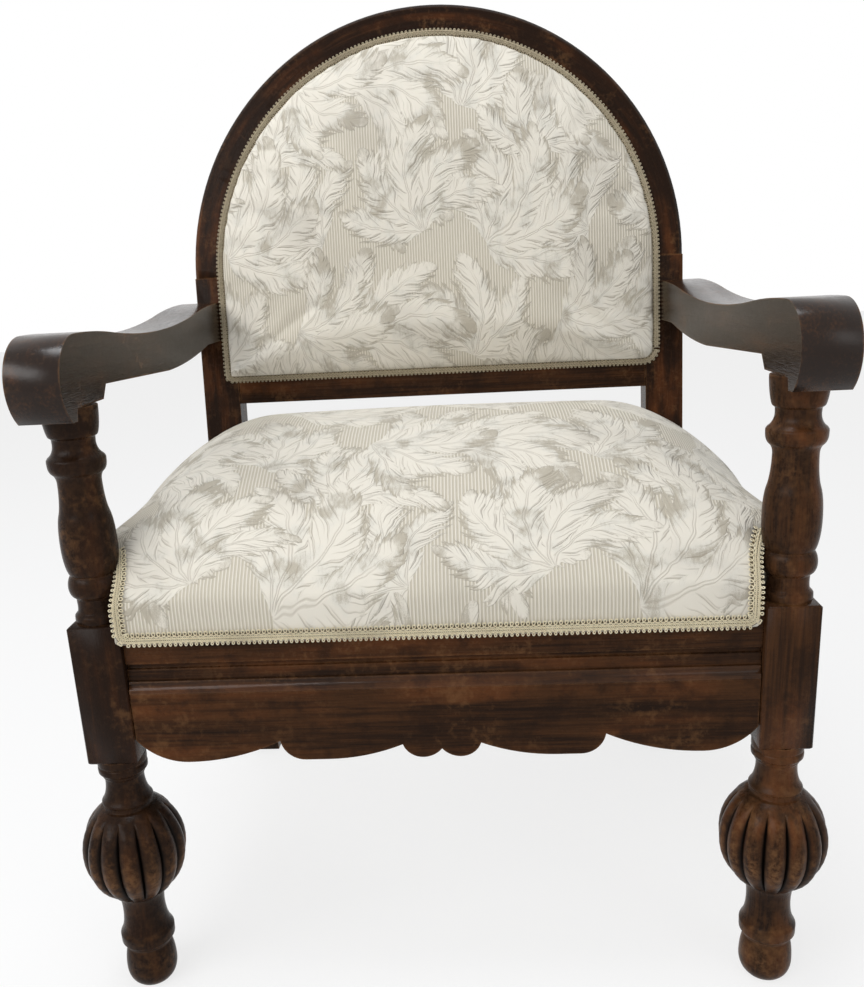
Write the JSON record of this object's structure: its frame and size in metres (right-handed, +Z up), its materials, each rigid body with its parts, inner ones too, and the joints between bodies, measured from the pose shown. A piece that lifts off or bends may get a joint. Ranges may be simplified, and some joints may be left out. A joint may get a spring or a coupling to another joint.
{
  "type": "armchair",
  "caption": "Upholstered oak armchair with an arched back, scroll arms on turned supports, fluted bulb front legs and a shaped apron under a moulded front rail.",
  "frame": {"origin": "floor, under the middle of the chair's bounding box", "axes": "+Z up, +X to the right in a view of the front, -Y towards the front of the chair"},
  "size_m": [0.6958, 0.539, 0.9511],
  "materials": {
    "oak": "worn dark stain under old polish",
    "steel": "plain",
    "webbing": "woven jute",
    "hessian": "coarse woven jute",
    "stuffing": "soft fibre",
    "cover": "woven leaf pattern on a ribbed ground",
    "braid": "looped braid"
  },
  "bodies": {
    "root": {"front_leg_left": "oak", "front_leg_right": "oak", "back_post_left": "oak", "back_post_right": "oak", "back_bow": "oak", "bow_dowels": "oak", "lower_back_rail": "oak", "arm_left": "oak", "arm_right": "oak", "screw_plug_left": "oak", "screw_plug_right": "oak", "front_rail": "oak", "front_moulding": "oak", "front_apron": "oak", "side_rail_left": "oak", "side_rail_right": "oak", "rear_rail": "oak", "corner_block_front_left": "oak", "corner_block_front_right": "oak", "corner_block_rear_left": "oak", "corner_block_rear_right": "oak", "arm_screw_left": "steel", "arm_screw_right": "steel", "seat_webbing": "webbing", "back_webbing": "webbing", "seat_hessian": "hessian", "back_hessian": "hessian", "seat_pad": "stuffing", "back_pad": "stuffing", "seat_cover": "cover", "back_cover": "cover", "outside_back_cover": "cover", "seat_braid": "braid", "side_braid_left": "braid", "side_braid_right": "braid", "rear_braid": "braid", "back_braid": "braid", "outside_back_braid": "braid"}
  },
  "joints": []
}
